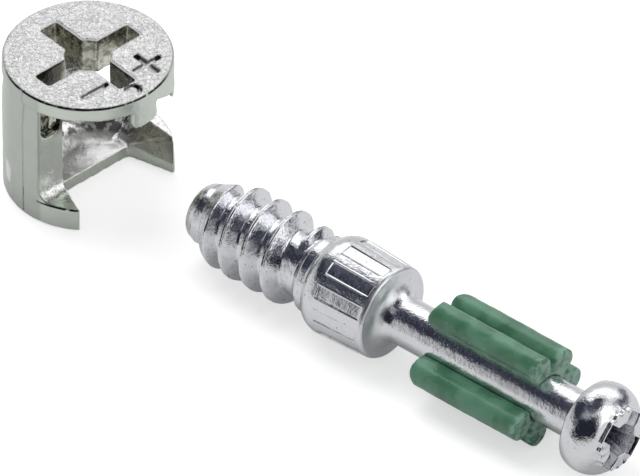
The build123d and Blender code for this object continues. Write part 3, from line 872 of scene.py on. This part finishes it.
def pale(name, strength, glossy):
    """A material that shows white to the camera, glows faintly in metal, and takes a soft
    shadow."""
    n = Nodes(name)
    path = n.tree.nodes.new("ShaderNodeLightPath")
    in_metal = n.math("MULTIPLY", path.outputs["Is Glossy Ray"], glossy)
    glow = n.math("MULTIPLY_ADD", path.outputs["Is Camera Ray"], strength, in_metal)
    n.link((0.74, 0.74, 0.74), n.shader.inputs["Base Color"])
    n.link(0.9, n.shader.inputs["Roughness"])
    n.link((1.0, 1.0, 1.0), n.shader.inputs["Emission Color"])
    n.link(glow, n.shader.inputs["Emission Strength"])
    return n.material


# The studio's dome, and patches on it that are seen in the metal: azimuth, elevation,
# half-width, half-height and soft edge in degrees, and level. Azimuth 0 is the right, 90 the
# back, 180 the left and 270 the viewer.
DOME_RADIUS = 420.0
STUDIO = (
    (75, 15, 32, 25, 6, 0.60),
    (160, 5, 42, 18, 7, 0.62),
    (180, 79, 400, 16, 4, 0.085),
    (168, 44, 38, 19, 5, 0.05),
    (254, 20, 48, 34, 6, 0.03),
    (28, 16, 27, 18, 8, 0.10),
    (331, 34, 23, 27, 4, 1.25),
)


def studio_dome():
    """A dome round the set that only reflections see: grey, with the patches of STUDIO and a
    bright band at the back whose middle height rises with the azimuth."""
    n = Nodes("studio")
    middle = tuple(v * MM for v in STAGE_MIDDLE)
    ray = n.vector("NORMALIZE", n.vector("SUBTRACT", n.coords, middle))
    x, y, z = n.split(ray)
    azimuth = n.math("DIVIDE", n.math("ARCTAN2", y, x), DEGREE)
    azimuth = n.math("FLOORED_MODULO", azimuth, 360.0)
    elevation = n.math("DIVIDE", n.math("ARCSINE", z), DEGREE)
    level = n.range(elevation, -20.0, 10.0, 0.58, 0.60)

    def blend(mask, new, old):
        """old where mask is 0 and new where it is 1."""
        return n.math("MULTIPLY_ADD", mask, n.math("SUBTRACT", new, old), old)

    def near(value, centre, half, edge):
        """1 within half of the centre, with a soft edge."""
        away = n.math("ABSOLUTE", n.math("SUBTRACT", value, centre))
        return n.range(away, half - edge, half + edge, 1.0, 0.0)

    for az, el, wide, high, edge, new in STUDIO:
        mask = n.product(near(azimuth, az, wide, edge), near(elevation, el, high, edge))
        level = blend(mask, new, level)
    middle_height = n.math("MULTIPLY_ADD", azimuth, 0.21, 31.0)
    over = n.math("SUBTRACT", elevation, middle_height)
    band = n.product(near(over, centre=0.0, half=17.0, edge=4.0),
                     near(azimuth, centre=75.0, half=53.0, edge=4.0))
    level = blend(band, 1.36, level)
    tint = n.mix(n.range(level, 0.0, 0.4), (0.62, 0.68, 1.0), (1.0, 1.0, 1.0))
    glow = n.tree.nodes.new("ShaderNodeEmission")
    n.link(tint, glow.inputs["Color"])
    n.link(level, glow.inputs["Strength"])
    n.link(glow.outputs[0], n.tree.nodes["Material Output"].inputs["Surface"])
    n.tree.nodes.remove(n.shader)

    rows, cols = 24, 72
    az = np.radians(np.linspace(0.0, 360.0, cols, endpoint=False))[None, :]
    el = np.radians(np.linspace(-2.0, 89.0, rows))[:, None]
    flat = np.cos(el)
    outwards = np.stack((flat * np.cos(az), flat * np.sin(az), np.sin(el) + 0 * az), axis=-1)
    points = np.array(STAGE_MIDDLE) + DOME_RADIUS * outwards
    piece = make_piece("studio_dome", points, grid_faces(rows, cols), n.material, None)
    piece.visible_camera = False
    piece.visible_diffuse = False
    piece.visible_shadow = False
    piece.visible_transmission = False


def lamp(name, azimuth, elevation, size, power, distance=350.0):
    """A square soft lamp that looks at the middle of the set. Size and distance are in
    millimetres, the power in watts."""
    light = bpy.data.lights.new(name, "AREA")
    light.size = size * MM
    light.energy = power
    lamp_object = bpy.data.objects.new(name, light)
    bpy.context.collection.objects.link(lamp_object)
    az, el = radians(azimuth), radians(elevation)
    offset = np.array((cos(el) * cos(az), cos(el) * sin(az), sin(el))) * distance
    lamp_object.location = (np.array(STAGE_MIDDLE) + offset) * MM
    lamp_object.rotation_euler = (pi / 2 - el, 0.0, az + pi / 2)
    lamp_object.visible_glossy = False


def set_world():
    """Full white to the camera and to reflections, and a weaker light on everything else."""
    world = bpy.data.worlds.new("studio")
    bpy.context.scene.world = world
    world.use_nodes = True
    tree = world.node_tree
    back = tree.nodes["Background"]
    back.inputs["Color"].default_value = (1.0, 1.0, 1.0, 1.0)
    path = tree.nodes.new("ShaderNodeLightPath")
    seen = tree.nodes.new("ShaderNodeMath")
    seen.operation = "MAXIMUM"
    tree.links.new(path.outputs["Is Camera Ray"], seen.inputs[0])
    tree.links.new(path.outputs["Is Glossy Ray"], seen.inputs[1])
    span = tree.nodes.new("ShaderNodeMapRange")
    span.inputs["To Min"].default_value = 0.45
    span.inputs["To Max"].default_value = 1.0
    tree.links.new(seen.outputs[0], span.inputs["Value"])
    tree.links.new(span.outputs["Result"], back.inputs["Strength"])


def set_camera():
    """Looks along +Y from 40.3 degrees above with a long lens. A millimetre is 14.48 pixels at
    the bolt's middle, which lies 13 mm nearer than the origin does."""
    elevation = radians(40.3)
    distance = 1400.0
    nearer = 13.0
    pixels_per_mm = 14.48
    picture_width = 640.0
    shift_right = 16.10
    shift_up = -4.31
    right = np.array((1.0, 0.0, 0.0))
    forward = np.array((0.0, cos(elevation), -sin(elevation)))
    up = np.array((0.0, sin(elevation), cos(elevation)))
    place = shift_right * right + shift_up * up - (distance + nearer) * forward
    data = bpy.data.cameras.new("camera")
    data.sensor_width = 36.0
    data.lens = data.sensor_width * pixels_per_mm * distance / picture_width
    data.clip_start = 0.1
    data.clip_end = 20.0
    camera = bpy.data.objects.new("camera", data)
    camera.location = place * MM
    camera.rotation_euler = (pi / 2 - elevation, 0.0, 0.0)
    bpy.context.collection.objects.link(camera)
    bpy.context.scene.camera = camera


def floor():
    """A pale square, 3 m wide, at the height that the parts stand on."""
    half = 1500.0
    corners = np.array(((-1, -1, 0), (1, -1, 0), (1, 1, 0), (-1, 1, 0))) * half
    one_face = np.array(((0, 1, 2, 3),))
    material = pale("floor", strength=0.55, glossy=0.04)
    piece = make_piece("floor", corners, one_face, material, None)


def main():
    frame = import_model()
    steel = plated_steel()
    pieces = [
        tip_surface(steel),
        thread_surface(steel),
        collar_surface(steel),
        shaft_surface(steel),
        head_surface(steel),
        face_surface(steel),
    ]
    for piece in pieces:
        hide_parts("connecting_bolt")
    dress_cam(frame["nodes"]["cam_housing"], cast_zinc())
    dress_sleeve(frame["nodes"]["rib_sleeve"], green_plastic())
    floor()
    set_world()
    studio_dome()
    lamp("key", azimuth=120.0, elevation=62.0, size=260.0, power=0.62)
    lamp("side", azimuth=331.0, elevation=38.0, size=160.0, power=0.16)
    bpy.context.scene.view_settings.view_transform = "Standard"
    set_camera()


main()
